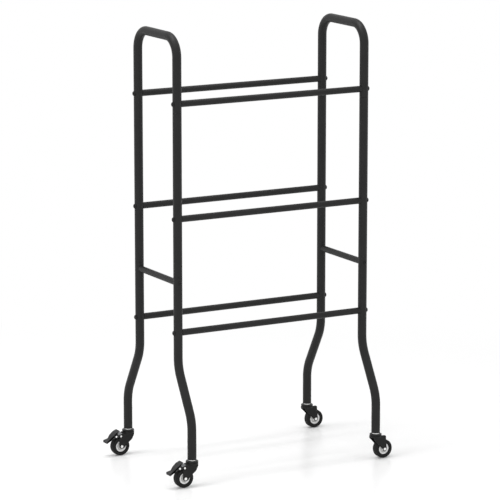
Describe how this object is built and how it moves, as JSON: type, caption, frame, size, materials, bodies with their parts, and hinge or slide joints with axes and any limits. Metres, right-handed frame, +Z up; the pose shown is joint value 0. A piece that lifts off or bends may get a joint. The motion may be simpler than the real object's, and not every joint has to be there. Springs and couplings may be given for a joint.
{
  "type": "ball cart",
  "caption": "Three-tier rolling ball cart: steel tube rails between looped end handles, bent legs on swivel casters, foot brakes on one end.",
  "frame": {"origin": "on the floor, under the centre of the whole cart with its casters trailing outwards", "axes": "+X along the rails to the right end, +Y to the rear, +Z up"},
  "size_m": [0.6889, 0.4072, 1.199],
  "materials": {
    "frame_tube": "satin black powder coat",
    "bolt": "black oxide, slightly oiled",
    "zinc_plate": "bright zinc plate",
    "fork": "satin black coat on pressed steel",
    "bright_pin": "bright zinc plate",
    "hub_plastic": "moulded, slight sheen",
    "tyre": "matte moulded rubber",
    "pedal": "dark grey coat on pressed steel",
    "leaf_spring": "plain spring steel"
  },
  "bodies": {
    "frame": {"handle_left": "frame_tube", "end_bar_left": "frame_tube", "handle_right": "frame_tube", "end_bar_right": "frame_tube", "mid_tube_front_left": "frame_tube", "lower_leg_front_left": "frame_tube", "mid_tube_rear_left": "frame_tube", "lower_leg_rear_left": "frame_tube", "mid_tube_front_right": "frame_tube", "lower_leg_front_right": "frame_tube", "mid_tube_rear_right": "frame_tube", "lower_leg_rear_right": "frame_tube", "rail_lower_front": "frame_tube", "rail_middle_front": "frame_tube", "rail_top_front": "frame_tube", "rail_lower_rear": "frame_tube", "rail_middle_rear": "frame_tube", "rail_top_rear": "frame_tube", "rail_bolt_lower_front_left": "bolt", "rail_bolt_middle_front_left": "bolt", "rail_bolt_top_front_left": "bolt", "end_bar_bolt_front_left": "bolt", "caster_stem_front_left": "zinc_plate", "rail_bolt_lower_rear_left": "bolt", "rail_bolt_middle_rear_left": "bolt", "rail_bolt_top_rear_left": "bolt", "end_bar_bolt_rear_left": "bolt", "caster_stem_rear_left": "zinc_plate", "rail_bolt_lower_front_right": "bolt", "rail_bolt_middle_front_right": "bolt", "rail_bolt_top_front_right": "bolt", "end_bar_bolt_front_right": "bolt", "caster_stem_front_right": "zinc_plate", "rail_bolt_lower_rear_right": "bolt", "rail_bolt_middle_rear_right": "bolt", "rail_bolt_top_rear_right": "bolt", "end_bar_bolt_rear_right": "bolt", "caster_stem_rear_right": "zinc_plate"},
    "swivel_front_left": {"caster_fork_front_left": "fork", "caster_axle_front_left": "bright_pin", "brake_pin_front_left": "bright_pin", "brake_leaf_front_left": "leaf_spring"},
    "wheel_front_left": {"wheel_hub_front_left": "hub_plastic", "wheel_tyre_front_left": "tyre"},
    "brake_front_left": {"brake_pedal_front_left": "pedal"},
    "swivel_rear_left": {"caster_fork_rear_left": "fork", "caster_axle_rear_left": "bright_pin", "brake_pin_rear_left": "bright_pin", "brake_leaf_rear_left": "leaf_spring"},
    "wheel_rear_left": {"wheel_hub_rear_left": "hub_plastic", "wheel_tyre_rear_left": "tyre"},
    "brake_rear_left": {"brake_pedal_rear_left": "pedal"},
    "swivel_front_right": {"caster_fork_front_right": "fork", "caster_axle_front_right": "bright_pin"},
    "wheel_front_right": {"wheel_hub_front_right": "hub_plastic", "wheel_tyre_front_right": "tyre"},
    "swivel_rear_right": {"caster_fork_rear_right": "fork", "caster_axle_rear_right": "bright_pin"},
    "wheel_rear_right": {"wheel_hub_rear_right": "hub_plastic", "wheel_tyre_rear_right": "tyre"}
  },
  "joints": [
    {"name": "caster_swivel_front_left", "type": "hinge", "parent": "frame", "child": "swivel_front_left", "pos_m": [-0.27348, -0.18675, 0.0655], "axis": [0, 0, 1], "continuous": true},
    {"name": "wheel_spin_front_left", "type": "hinge", "parent": "swivel_front_left", "child": "wheel_front_left", "pos_m": [-0.29947, -0.18675, 0.02593], "axis": [0, 1, 0], "continuous": true},
    {"name": "brake_press_front_left", "type": "hinge", "parent": "swivel_front_left", "child": "brake_front_left", "pos_m": [-0.30188, -0.18675, 0.0554], "axis": [0, -1, 0], "range_deg": [0, 14]},
    {"name": "caster_swivel_rear_left", "type": "hinge", "parent": "frame", "child": "swivel_rear_left", "pos_m": [-0.27348, 0.18675, 0.0655], "axis": [0, 0, 1], "continuous": true},
    {"name": "wheel_spin_rear_left", "type": "hinge", "parent": "swivel_rear_left", "child": "wheel_rear_left", "pos_m": [-0.29947, 0.18675, 0.02593], "axis": [0, 1, 0], "continuous": true},
    {"name": "brake_press_rear_left", "type": "hinge", "parent": "swivel_rear_left", "child": "brake_rear_left", "pos_m": [-0.30188, 0.18675, 0.0554], "axis": [0, -1, 0], "range_deg": [0, 14]},
    {"name": "caster_swivel_front_right", "type": "hinge", "parent": "frame", "child": "swivel_front_right", "pos_m": [0.29652, -0.18675, 0.0655], "axis": [0, 0, 1], "continuous": true},
    {"name": "wheel_spin_front_right", "type": "hinge", "parent": "swivel_front_right", "child": "wheel_front_right", "pos_m": [0.31833, -0.18675, 0.02593], "axis": [0, 1, 0], "continuous": true},
    {"name": "caster_swivel_rear_right", "type": "hinge", "parent": "frame", "child": "swivel_rear_right", "pos_m": [0.29652, 0.18675, 0.0655], "axis": [0, 0, 1], "continuous": true},
    {"name": "wheel_spin_rear_right", "type": "hinge", "parent": "swivel_rear_right", "child": "wheel_rear_right", "pos_m": [0.31833, 0.18675, 0.02593], "axis": [0, 1, 0], "continuous": true}
  ]
}
